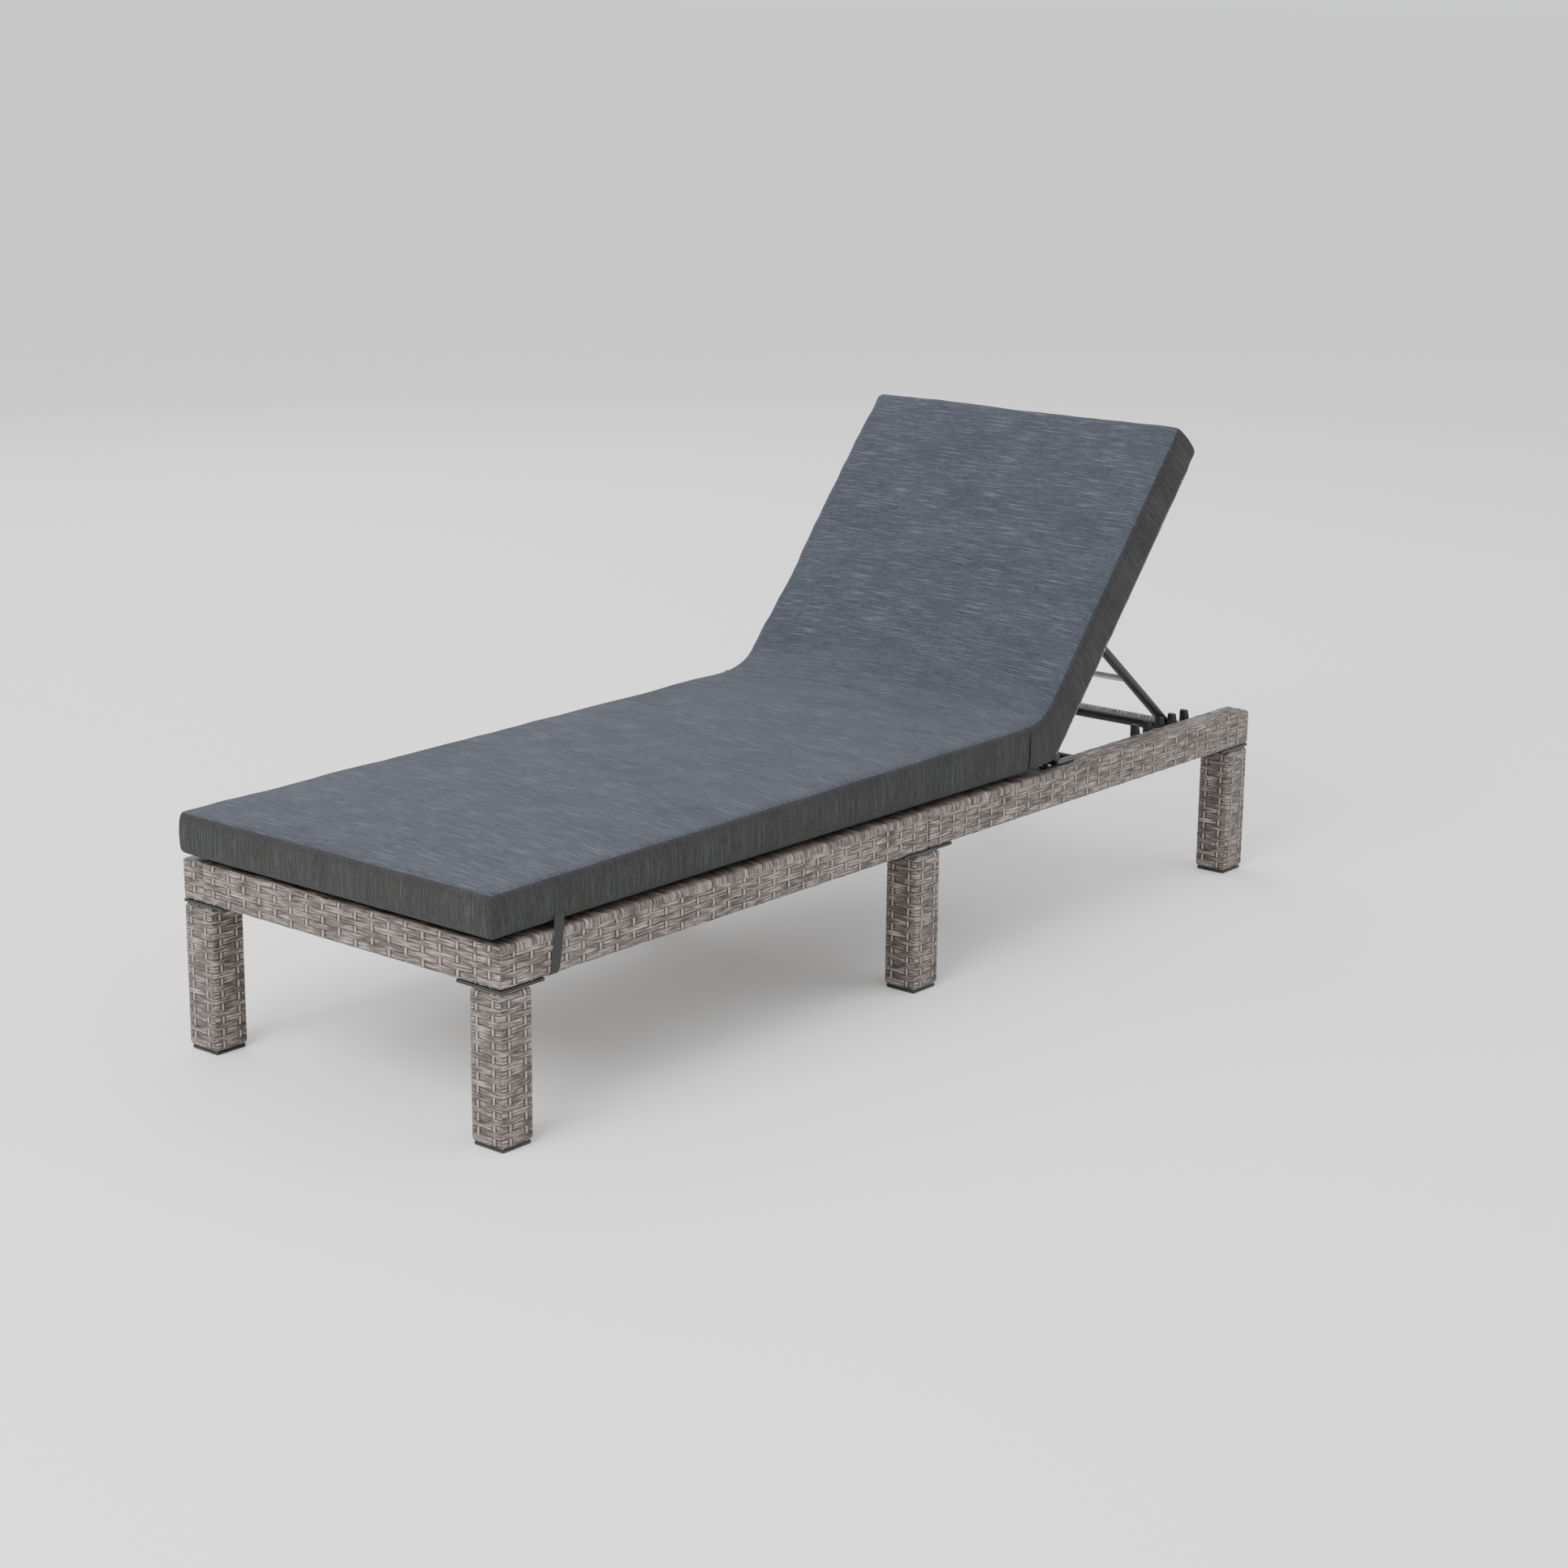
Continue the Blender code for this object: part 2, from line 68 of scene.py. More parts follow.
JOINTS = {j["name"]: j for j in frame["record"]["behaviour"]["joints"]}
HINGE = Vector(JOINTS["recline"]["pos_m"])
PIVOT = Vector(JOINTS["stand_swing"]["pos_m"])
BACK_ANGLE = math.atan2(PIVOT.z - HINGE.z, PIVOT.x - HINGE.x)
SIDES = {"left": -1, "right": 1}
LEG_PLACES = ("foot", "mid", "head")


# ---------------------------------------------------------------- settings

def linear(hex_colour):
    """An sRGB hex colour as the linear numbers that a shader takes."""
    values = [int(hex_colour[i:i + 2], 16) / 255 for i in (1, 3, 5)]
    return tuple(v / 12.92 if v <= 0.04045 else ((v + 0.055) / 1.055) ** 2.4 for v in values)


def colour_property(name, description, hex_colour):
    return FloatVectorProperty(name=name, description=description, default=linear(hex_colour),
                               subtype="COLOR", size=3, min=0.0, max=1.0)


class WeaveSettings(bpy.types.PropertyGroup):
    row: FloatProperty(name="Row", description="Height of one row of strands",
                       default=0.0105, unit="LENGTH")
    warp: FloatProperty(name="Warp", description="Distance between two warps along a row",
                        default=0.036, unit="LENGTH")
    warp_width: FloatProperty(name="Warp width", description="Width of a warp strand",
                              default=0.0048, unit="LENGTH")
    relief: FloatProperty(name="Relief", description="Height of a strand over the gaps",
                          default=0.0016, unit="LENGTH")
    wrap: FloatProperty(name="Wrap", description="Distance between two loops over the rail's top",
                        default=0.0085, unit="LENGTH")
    light: colour_property("Light strand", "Palest of the mixed strands", "#ABA199")
    middle: colour_property("Middle strand", "Commonest of the mixed strands", "#635A53")
    dark: colour_property("Dark strand", "Darkest of the mixed strands", "#231F1D")
    gap: colour_property("Gap", "Shade between the strands", "#0E0C0B")


class CushionSettings(bpy.types.PropertyGroup):
    crown: FloatProperty(name="Crown", description="Rise of the top from its seams to its middle",
                         default=0.011, unit="LENGTH")
    edge: FloatProperty(name="Edge", description="Radius of the sewn edges",
                        default=0.012, unit="LENGTH")
    # The top and side colours are one cloth drawn lit and shaded: the top's bluer slate holds painted
    # sky light, and the side's darker, browner colour is painted shade on the boxing and lower half.
    top: colour_property("Top cloth", "Slate cloth on the lying surface", "#40434B")
    side: colour_property("Side cloth", "The same cloth on the boxing, browner", "#333332")
    slub: colour_property("Slub", "Pale slubs in the weft", "#777D86")


class StageSettings(bpy.types.PropertyGroup):
    lens: FloatProperty(name="Lens", description="Focal length in millimetres", default=69.79)
    floor: colour_property("Floor", "Plain pale floor", "#FAF9F8")


# ---------------------------------------------------------------- shader helpers

def add_node(tree, kind, values=None, **settings):
    """Add one node: settings are its attributes, values its inputs, given or linked."""
    made = tree.nodes.new(kind)
    for key, value in settings.items():
        setattr(made, key, value)
    for key, value in (values or {}).items():
        if isinstance(value, bpy.types.NodeSocket):
            tree.links.new(value, made.inputs[key])
        else:
            made.inputs[key].default_value = value
    return made


def new_material(name, roughness, metallic=0.0, colour=(0.5, 0.5, 0.5)):
    made = bpy.data.materials.new(name)
    made.use_nodes = True
    tree = made.node_tree
    shader = tree.nodes["Principled BSDF"]
    shader.inputs["Base Color"].default_value = (*colour, 1.0)
    shader.inputs["Roughness"].default_value = roughness
    shader.inputs["Metallic"].default_value = metallic
    return made, tree, shader


def maths(tree, operation, first, second=0.0, third=0.0, clamp=False):
    made = add_node(tree, "ShaderNodeMath", {0: first, 1: second, 2: third},
                    operation=operation, use_clamp=clamp)
    return made.outputs[0]


def ramp(tree, factor, stops):
    made = add_node(tree, "ShaderNodeValToRGB", {0: factor})
    elements = made.color_ramp.elements
    while len(elements) < len(stops):
        elements.new(0.5)
    for element, (place, colour) in zip(elements, stops):
        element.position = place
        element.color = (*colour, 1.0)
    return made.outputs[0]


def mix(tree, factor, first, second, blend="MIX"):
    made = add_node(tree, "ShaderNodeMix", {0: factor, 6: first, 7: second}, data_type="RGBA",
                    blend_type=blend)
    return made.outputs[2]


def grain(tree, vector, scale, detail=3.0, size=1.0):
    """Noise stretched by a three-way scale, in repeats per metre."""
    placed = add_node(tree, "ShaderNodeMapping", {"Vector": vector, "Scale": scale})
    made = add_node(tree, "ShaderNodeTexNoise", {"Vector": placed.outputs[0], "Scale": size,
                                                 "Detail": detail, "Roughness": 0.6})
    return made.outputs["Fac"]


def bump(tree, shader, height, strength, distance):
    made = add_node(tree, "ShaderNodeBump", {"Height": height, "Strength": strength,
                                             "Distance": distance})
    tree.links.new(made.outputs[0], shader.inputs["Normal"])


# ---------------------------------------------------------------- materials

def polyrattan(weave):
    """Extruded polyethylene rattan, hand woven: mixed grey-brown strands with fine drawn
    lines, pale warps crossing them, painted shade in the gaps between rows, in each row's
    middle groove and beside the warps, and a low waxy sheen."""
    made, tree, shader = new_material("polyrattan_woven", 0.52)
    uv = add_node(tree, "ShaderNodeUVMap", uv_map="weave").outputs[0]
    split = add_node(tree, "ShaderNodeSeparateXYZ", {0: uv})
    u, v = split.outputs[0], split.outputs[1]
    rows = maths(tree, "DIVIDE", v, weave.row)
    row = maths(tree, "FLOOR", rows)
    across = maths(tree, "ABSOLUTE", maths(tree, "SUBTRACT", maths(tree, "FRACT", rows), 0.5))
    parity = maths(tree, "FLOORED_MODULO", row, 2.0)
    phase = maths(tree, "ADD", maths(tree, "DIVIDE", u, 2 * weave.warp),
                  maths(tree, "MULTIPLY", parity, 0.5))
    aside = maths(tree, "ABSOLUTE", maths(tree, "SUBTRACT", maths(tree, "FRACT", phase), 0.5))
    aside = maths(tree, "MULTIPLY", aside, 2 * weave.warp)
    half = weave.warp_width / 2
    wrap = add_node(tree, "ShaderNodeAttribute", attribute_name="wrap").outputs["Fac"]
    plain = maths(tree, "SUBTRACT", 1.0, wrap)
    warp = add_node(tree, "ShaderNodeMapRange", {0: aside, 1: half * 1.15, 2: half * 0.8})
    warp = maths(tree, "MULTIPLY", warp.outputs[0], plain)
    shade = add_node(tree, "ShaderNodeMapRange", {0: aside, 1: half * 3.0, 2: half * 1.5})
    shade = maths(tree, "MULTIPLY", shade.outputs[0], plain)

    place = add_node(tree, "ShaderNodeCombineXYZ", {0: u, 1: maths(tree, "MULTIPLY", row, 3.7)})
    tone = grain(tree, place.outputs[0], (16.0, 1.0, 1.0), 1.0)
    fine = grain(tree, uv, (45.0, 1100.0, 1.0), 2.0)
    # The drawn lines are a third of a millimetre wide, and are shown about 3 mm wide.
    streak = grain(tree, uv, (34.0, 360.0, 1.0), 2.0)
    blend = maths(tree, "ADD", maths(tree, "MULTIPLY", tone, 0.35),
                  maths(tree, "MULTIPLY", streak, 0.75))
    blend = maths(tree, "ADD", blend, maths(tree, "MULTIPLY", fine, 0.25))
    strand = ramp(tree, blend, [(0.52, weave.dark), (0.68, weave.middle), (0.86, weave.light)])
    pale = ramp(tree, fine, [(0.25, weave.middle), (0.60, weave.light)])
    # Painted shade: the strands darken towards the gap colour beside each warp, along the groove in
    # each row's middle and in the gaps between rows.
    shaded = mix(tree, maths(tree, "MULTIPLY", shade, 0.95), strand, (*weave.gap, 1.0))
    centre = add_node(tree, "ShaderNodeMapRange", {0: across, 1: 0.07, 2: 0.02}).outputs[0]
    shaded = mix(tree, maths(tree, "MULTIPLY", centre, 0.40), shaded, (*weave.gap, 1.0))
    edge = add_node(tree, "ShaderNodeMapRange", {0: across, 1: 0.36, 2: 0.48}).outputs[0]
    edge = maths(tree, "MULTIPLY", edge, maths(tree, "MULTIPLY", fine, 1.4, clamp=True))
    shaded = mix(tree, edge, shaded, (*weave.gap, 1.0))
    colour = mix(tree, maths(tree, "MULTIPLY", warp, 0.85), shaded, pale)
    tree.links.new(colour, shader.inputs["Base Color"])
    shader.inputs["Specular IOR Level"].default_value = 0.45
    bump(tree, shader, maths(tree, "ADD", streak, fine), 0.5, 0.0007)
    return made


def cushion_cloth(cushion):
    """Solution-dyed polyester slub weave: slate, with pale uneven weft threads and a faint nap
    sheen; drawn bluer on the top as painted sky light, and darker and browner on the boxing
    and lower half as painted shade."""
    made, tree, shader = new_material("polyester_slub_weave", 1.0)
    uv = add_node(tree, "ShaderNodeUVMap", uv_map="cloth").outputs[0]
    boxing = add_node(tree, "ShaderNodeAttribute", attribute_name="boxing").outputs["Fac"]
    # Painted shade: the boxing and lower half take the darker, browner side colour of the same cloth.
    base = mix(tree, boxing, (*cushion.top, 1.0), (*cushion.side, 1.0))
    thread = grain(tree, uv, (55.0, 620.0, 1.0), 3.0)
    cross = grain(tree, uv, (620.0, 55.0, 1.0), 3.0)
    weave = maths(tree, "ADD", maths(tree, "MULTIPLY", thread, 0.6),
                  maths(tree, "MULTIPLY", cross, 0.4))
    tone = add_node(tree, "ShaderNodeMapRange", {0: weave, 1: 0.30, 2: 0.70, 3: 0.58, 4: 1.45})
    woven = mix(tree, 1.0, base, tone.outputs[0], "MULTIPLY")
    # Slubs under a millimetre wide, shown about 3 mm wide.
    slub = grain(tree, uv, (15.0, 400.0, 1.0), 2.0)
    slub = add_node(tree, "ShaderNodeMapRange", {0: slub, 1: 0.52, 2: 0.72}).outputs[0]
    weight = add_node(tree, "ShaderNodeMapRange", {0: boxing, 3: 0.42, 4: 0.16}).outputs[0]
    slub = maths(tree, "MULTIPLY", slub, weight)
    faded = mix(tree, slub, woven, (*cushion.slub, 1.0))
    drift = grain(tree, uv, (5.0, 14.0, 1.0), 2.0)
    drift = add_node(tree, "ShaderNodeMapRange", {0: drift, 1: 0.3, 2: 0.7, 3: 0.90, 4: 1.10})
    faded = mix(tree, 1.0, faded, drift.outputs[0], "MULTIPLY")
    seam = add_node(tree, "ShaderNodeAttribute", attribute_name="seam").outputs["Fac"]
    # Painted shade: the groove along the sewn top seam is darkened almost to black.
    faded = mix(tree, maths(tree, "MULTIPLY", seam, 0.45), faded, (0.012, 0.012, 0.013, 1.0))
    tree.links.new(faded, shader.inputs["Base Color"])
    shader.inputs["Sheen Weight"].default_value = 0.05
    shader.inputs["Sheen Roughness"].default_value = 0.5
    shader.inputs["Specular IOR Level"].default_value = 0.08
    bump(tree, shader, weave, 0.6, 0.0009)
    return made


def webbing():
    """Woven polypropylene strap: dark, with fine ribs along it and a dull face."""
    made, tree, shader = new_material("polypropylene_webbing", 0.8)
    uv = add_node(tree, "ShaderNodeUVMap", uv_map="cloth").outputs[0]
    rib = add_node(tree, "ShaderNodeTexWave", {"Vector": uv, "Scale": 95.0, "Distortion": 0.6,
                                               "Detail": 2.0}, bands_direction="Y")
    fleck = grain(tree, uv, (300.0, 300.0, 1.0), 2.0)
    shade = maths(tree, "MULTIPLY", rib.outputs["Fac"], fleck)
    colour = ramp(tree, shade, [(0.05, linear("#1B1C1B")), (0.7, linear("#343533"))])
    tree.links.new(colour, shader.inputs["Base Color"])
    bump(tree, shader, rib.outputs["Fac"], 0.5, 0.0004)
    return made


def object_noise(tree, scale, detail=4.0):
    place = add_node(tree, "ShaderNodeTexCoord").outputs["Object"]
    made = add_node(tree, "ShaderNodeTexNoise", {"Vector": place, "Scale": scale,
                                                 "Detail": detail})
    return made.outputs["Fac"]


def powder_coat():
    """Powder-coated steel tube: near black, fine orange-peel skin, satin, dusty in places."""
    made, tree, shader = new_material("powder_coated_steel", 0.42)
    dust = object_noise(tree, 26.0)
    peel = object_noise(tree, 900.0, 2.0)
    colour = ramp(tree, dust, [(0.35, linear("#131414")), (0.75, linear("#272827"))])
    gloss = add_node(tree, "ShaderNodeMapRange", {0: dust, 3: 0.34, 4: 0.55}).outputs[0]
    tree.links.new(colour, shader.inputs["Base Color"])
    tree.links.new(gloss, shader.inputs["Roughness"])
    shader.inputs["Specular IOR Level"].default_value = 0.35
    bump(tree, shader, peel, 0.25, 0.0002)
    return made


def moulded_nylon():
    """Injection-moulded black nylon: fine spark-eroded grain, softly glossy on edges."""
    made, tree, shader = new_material("moulded_nylon", 0.5)
    patch = object_noise(tree, 60.0)
    texture = object_noise(tree, 1600.0, 2.0)
    colour = ramp(tree, patch, [(0.3, linear("#171818")), (0.8, linear("#2C2D2D"))])
    tree.links.new(colour, shader.inputs["Base Color"])
    bump(tree, shader, texture, 0.3, 0.0002)
    return made


def zinc_plate():
    """Bright zinc-plated steel: pale grey metal with faint turning marks and dull patches."""
    made, tree, shader = new_material("zinc_plated_steel", 0.3, 1.0)
    patch = object_noise(tree, 140.0)
    colour = ramp(tree, patch, [(0.3, linear("#A9A9A4")), (0.8, linear("#D8D7D0"))])
    gloss = add_node(tree, "ShaderNodeMapRange", {0: patch, 3: 0.2, 4: 0.42}).outputs[0]
    tree.links.new(colour, shader.inputs["Base Color"])
    tree.links.new(gloss, shader.inputs["Roughness"])
    return made


def drawn_steel():
    """Bare drawn tube inside the weave: dull grey metal with long draw lines."""
    made, tree, shader = new_material("drawn_steel_tube", 0.45, 1.0)
    lines = object_noise(tree, 300.0, 2.0)
    colour = ramp(tree, lines, [(0.3, linear("#6E6F70")), (0.8, linear("#8C8C8B"))])
    tree.links.new(colour, shader.inputs["Base Color"])
    return made


def grey_lacquer():
    """Sprayed grey-green lacquer on the brace: pale and semi-gloss, thinner on its edges."""
    made, tree, shader = new_material("grey_green_lacquer", 0.35)
    patch = object_noise(tree, 40.0)
    colour = ramp(tree, patch, [(0.3, linear("#8B958F")), (0.8, linear("#A9B2AB"))])
    tree.links.new(colour, shader.inputs["Base Color"])
    shader.inputs["Coat Weight"].default_value = 0.2
    return made


FINISHES = {}


def finish(name):
    """The material of that name, made the first time it is asked for."""
    scene = bpy.context.scene
    makers = {"polyrattan": lambda: polyrattan(scene.lounger_weave),
              "cloth": lambda: cushion_cloth(scene.lounger_cushion), "webbing": webbing,
              "powder_coat": powder_coat, "nylon": moulded_nylon, "zinc": zinc_plate,
              "core": drawn_steel, "lacquer": grey_lacquer}
    if name not in FINISHES:
        FINISHES[name] = makers[name]()
    return FINISHES[name]


def dress(obj, finish_name, slot, *nodes):
    """Give a finished piece its material, and let it stand for its nodes; the slot is not used."""
    obj.data.materials.clear()
    obj.data.materials.append(finish(finish_name))
    if nodes:
        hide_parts(*nodes)
    return obj


# ---------------------------------------------------------------- woven skins

LOOP_DEPTH = 0.0125  # how far down a rail's side the loops over its top reach


def lattice(lines):
    """The skin of a box cut along the given x, y and z lines: points, quads and their faces."""
    counts = [len(line) for line in lines]
    keys, sides = [], []
    for axis in range(3):
        first, second = [a for a in range(3) if a != axis]
        if axis == 1:
            first, second = second, first
        for end in (0, 1):
            i, j = np.meshgrid(np.arange(counts[first] - 1), np.arange(counts[second] - 1),
                               indexing="ij")
            i, j = i.ravel(), j.ravel()
            ring = [(0, 0), (1, 0), (1, 1), (0, 1)]
            if not end:
                ring.reverse()
            corners = np.zeros((len(i), 4, 3), int)
            for k, (di, dj) in enumerate(ring):
                corners[:, k, axis] = end * (counts[axis] - 1)
                corners[:, k, first] = i + di
                corners[:, k, second] = j + dj
            keys.append(corners)
            sides.append(np.full(len(i), axis))
    corners = np.concatenate(keys)
    flat = (corners[..., 0] * counts[1] + corners[..., 1]) * counts[2] + corners[..., 2]
    unique, quads = np.unique(flat.ravel(), return_inverse=True)
    index = np.stack([unique // (counts[1] * counts[2]),
                      unique // counts[2] % counts[1], unique % counts[2]], axis=1)
    points = np.stack([np.asarray(lines[a])[index[:, a]] for a in range(3)], axis=1)
    return points, quads.reshape(-1, 4), np.concatenate(sides)


def even(low, high, step):
    """Lines from low to high, about a step apart."""
    return np.linspace(low, high, max(2, int(round((high - low) / step)) + 1))


def mesh_object(name, points, quads, uv_name, uv, attributes=()):
    """A linked, smooth-shaded object from arrays, with a UV map and point attributes."""
    mesh = bpy.data.meshes.new(name)
    mesh.from_pydata(points.tolist(), [], quads.tolist())
    layer = mesh.uv_layers.new(name=uv_name)
    layer.data.foreach_set("uv", uv.reshape(-1).astype(np.float32))
    for key, values in attributes:
        made = mesh.attributes.new(key, "FLOAT", "POINT")
        made.data.foreach_set("value", values.astype(np.float32))
    mesh.validate()
    mesh.shade_smooth()
    obj = bpy.data.objects.new(name, mesh)
    bpy.context.scene.collection.objects.link(obj)
    return obj


def rounded(points, low, high, radius):
    """Box points moved onto the box with rounded edges, and the way out at each."""
    inner = np.clip(points, low + radius, high - radius)
    out = points - inner
    length = np.linalg.norm(out, axis=1, keepdims=True)
    out = out / np.maximum(length, 1e-9)
    return inner + out * radius, out


def weave_height(weave, u, v, wrap):
    """Height of the weave at (u along a row, v across rows), in metres over its mean."""
    rows = v / weave.row
    row = np.floor(rows)
    across = np.abs(rows - row - 0.5) * 2
    strand = np.sqrt(np.clip(1 - across ** 2.6, 0, 1))
    groove = 0.22 * np.exp(-(across / 0.13) ** 2)
    phase = u / (2 * weave.warp) + 0.5 * np.mod(row, 2)
    aside = np.abs(phase - np.floor(phase) - 0.5) * 2 * weave.warp
    half = weave.warp_width / 2
    bow = 0.35 * np.cos(math.pi * np.clip(aside / weave.warp, 0, 1))
    on_warp = np.clip((half * 1.25 - aside) / (half * 0.5), 0, 1) * (1 - wrap)
    woven = strand * (0.75 - bow * (1 - wrap)) - groove
    warp = 0.95 * np.sqrt(np.clip(1 - (aside / (half * 1.3)) ** 2, 0, 1)) \
        * np.sqrt(np.clip(1 - (across * 0.85) ** 4, 0, 1))
    return weave.relief * (np.where(on_warp > 0, np.maximum(woven, warp), woven) - 0.55)


def weave_box(name, low, high, radius, along, steps, offset=(0.0, 0.0), spread=1.0,
              wrap_x=None, shape=None):
    """A rounded box covered in weave: rows run level round it and along its top and bottom.
    Up to wrap_x, the strands loop over the top edge in place of the rows."""
    weave = bpy.context.scene.lounger_weave
    low, high = np.array(low, float), np.array(high, float)
    points, quads, sides = lattice([even(low[a], high[a], steps[a]) for a in range(3)])
    corner = points[quads]
    centre = (low + high) / 2
    side = sides[:, None]
    other = 1 - along if along < 2 else 1
    level = along if along < 2 else 0
    u = np.where(side == 2, corner[..., level], np.where(side == 1, corner[..., 0],
                 centre[0] + (corner[..., 1] - centre[1]) + (high[0] - low[0])))
    v = np.where(side == 2, corner[..., other], corner[..., 2])
    u, v = (u + offset[0]) * spread, v + offset[1]
    wrap = np.zeros(u.shape)
    if wrap_x is not None:
        middle = corner.mean(axis=1)
        upper = (middle[:, 2] > high[2] - LOOP_DEPTH) & (middle[:, 0] < wrap_x) & (sides > 0)
        wrap = np.repeat(upper[:, None], 4, axis=1).astype(float)
        u = np.where(wrap > 0, corner[..., 1] + corner[..., 2], u)
        v = np.where(wrap > 0, corner[..., 0] * weave.row / weave.wrap, v)
    height = weave_height(weave, u, v, wrap)
    total, count = np.zeros(len(points)), np.zeros(len(points))
    loops = np.zeros(len(points))
    np.add.at(total, quads, height)
    np.add.at(count, quads, 1)
    np.add.at(loops, quads, wrap)
    placed, out = rounded(points, low, high, radius)
    placed = placed + out * (total / count)[:, None]
    if shape:
        placed = shape(placed)
    return mesh_object(name, placed, quads, "weave", np.stack([u, v], axis=-1),
                       [("wrap", loops / count)])


def wound_tube(name, start, end, radius, pitch=0.0085, relief=0.0012, around=28, step=0.0014):
    """A tube along Y with one flat strand wound round it, its turns side by side."""
    weave = bpy.context.scene.lounger_weave
    start, end = Vector(start), Vector(end)
    along = np.arange(0, (end - start).length + step / 2, step)
    turn = np.linspace(0, 2 * math.pi, around, endpoint=False)
    place, angle = np.meshgrid(along, turn, indexing="ij")
    wound = place + angle / (2 * math.pi) * pitch
    across = np.abs(wound / pitch - np.floor(wound / pitch) - 0.5) * 2
    out = radius - relief / 2 + relief * np.sqrt(np.clip(1 - across ** 2.6, 0, 1))
    points = np.stack([start.x + out * np.cos(angle), start.y + place,
                       start.z + out * np.sin(angle)], axis=-1).reshape(-1, 3)
    i, j = np.meshgrid(np.arange(len(along) - 1), np.arange(around), indexing="ij")
    i, j = i.ravel(), j.ravel()
    after = (j + 1) % around
    quads = np.stack([i * around + j, (i + 1) * around + j, (i + 1) * around + after,
                      i * around + after], axis=-1)
    angles = np.stack([j, j, j + 1, j + 1], axis=-1) / around
    places = along[np.stack([i, i + 1, i + 1, i], axis=-1)]
    v = (places / pitch + angles) * weave.row
    u = angles * 2 * math.pi * radius
    tube = mesh_object(name, points, quads, "weave", np.stack([u, v], axis=-1),
                       [("wrap", np.ones(len(points)))])
    close_ends(tube)
    return tube


def close_ends(obj):
    """Fill the open ends of a tube and turn every face outwards."""
    bm = bmesh.new()
    bm.from_mesh(obj.data)
    bmesh.ops.holes_fill(bm, edges=[e for e in bm.edges if e.is_boundary], sides=0)
    bmesh.ops.recalc_face_normals(bm, faces=bm.faces)
    bm.to_mesh(obj.data)
    bm.free()


# ---------------------------------------------------------------- cushion

THICK = 0.076          # the cushion laid flat, before it takes its outlines
WEDGE = 0.100          # length of the cushion that fills the fold
BACK_END = 0.637       # top of the back half, up the back from the hinge
BACK_FOOT = -0.020     # where its rear face starts, on that same measure
BACK_FACE = 0.107      # its front face, out from the hinge line
BACK_REAR = 0.0250     # its rear face, out from the hinge line
SEAT_EDGE = 0.0695     # the seat's top seam over its underside, at the foot end
SEAT_CLIMB = 0.013     # how much higher that seam is where the fold begins
SLIT_RISE = 0.068      # how high the slit goes into the fold
SLIT_TOP = 0.0008      # the slit's top ends lie this far each side of it, along the length
SLIT_MOUTH = 0.0022    # and its mouth this far each side


class Fold:
    """The cushion's side view: lower and upper outlines over one length coordinate."""

    def __init__(self):
        seat_low, seat_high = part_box("seat_cushion")
        self.foot = seat_low.x
        self.bottom = seat_low.z
        self.slit = seat_high.x - seat_low.x
        self.back = self.slit + WEDGE
        self.bend_start, self.bend_end = self.slit - 0.030, self.back + 0.062
        self.length = self.back + BACK_END

    def on_back(self, up, out):
        """A point given up the back and out of its front, as (x, z)."""
        c, s = math.cos(BACK_ANGLE), math.sin(BACK_ANGLE)
        return HINGE.x + up * c - out * s, HINGE.z + up * s + out * c

    def lower(self, along):
        """The underside: flat, up one side of the slit and down the other, then up the back."""
        slit_x, slit_top = self.foot + self.slit, self.bottom + SLIT_RISE
        back_0, back_1 = self.on_back(BACK_FOOT, BACK_REAR), self.on_back(BACK_END, BACK_REAR)
        knots = [0, self.slit - SLIT_MOUTH, self.slit - SLIT_TOP, self.slit + SLIT_TOP,
                 self.slit + SLIT_MOUTH, self.back, self.length]
        xs = [self.foot, slit_x - 0.0012, slit_x, slit_x + 0.0030, slit_x + 0.0056,
              back_0[0], back_1[0]]
        zs = [self.bottom, self.bottom, slit_top, slit_top, self.bottom + 0.003,
              back_0[1], back_1[1]]
        return np.interp(along, knots, xs), np.interp(along, knots, zs)

    def upper(self, along, ease):
        """The top outline: a tight fold at the side seams (ease 0), a soft one between (1)."""
        bend_start = self.bend_start - 0.050 * ease
        bend_end = self.bend_end + 0.040 * ease
        p0 = np.stack([self.foot + bend_start, self.seam_height(bend_start)])
        p3 = np.stack(self.on_back(bend_end - self.back, BACK_FACE))
        up = np.array([[math.cos(BACK_ANGLE)], [math.sin(BACK_ANGLE)]])
        p1 = p0 + np.stack([0.060 + 0.022 * ease, np.zeros_like(ease)])
        p2 = p3 - up * (0.038 + 0.018 * ease)
        t = np.clip((along - bend_start) / (bend_end - bend_start), 0, 1)
        bent = ((1 - t) ** 3 * p0 + 3 * (1 - t) ** 2 * t * p1
                + 3 * (1 - t) * t ** 2 * p2 + t ** 3 * p3)
        back = self.on_back(along - self.back, BACK_FACE)
        seat = (self.foot + along, self.seam_height(along))
        low, high = along < bend_start, along > bend_end
        return [np.where(low, seat[k], np.where(high, back[k], bent[k])) for k in (0, 1)]

    def seam_height(self, along):
        """Height of the seat's top seam, which climbs a little towards the back."""
        return self.bottom + SEAT_EDGE + SEAT_CLIMB * np.clip(along / self.bend_start, 0, 1)


def dense_ends(length, step, edge=(0.0, 0.0018, 0.0036, 0.006, 0.009, 0.013, 0.018)):
    """Lines from 0 to length, close together near both ends, where the seams are."""
    edge = np.array(edge)
    middle = even(edge[-1], length - edge[-1], step)[1:-1]
    return np.concatenate([edge, middle, length - edge[::-1]])


def ripple(points, scale, seed):
    """Smooth noise at each point, about -1 to 1."""
    shift = Vector((seed, seed * 1.7, seed * 0.6))
    return np.array([noise.noise(Vector(p) * scale + shift) for p in points.tolist()])


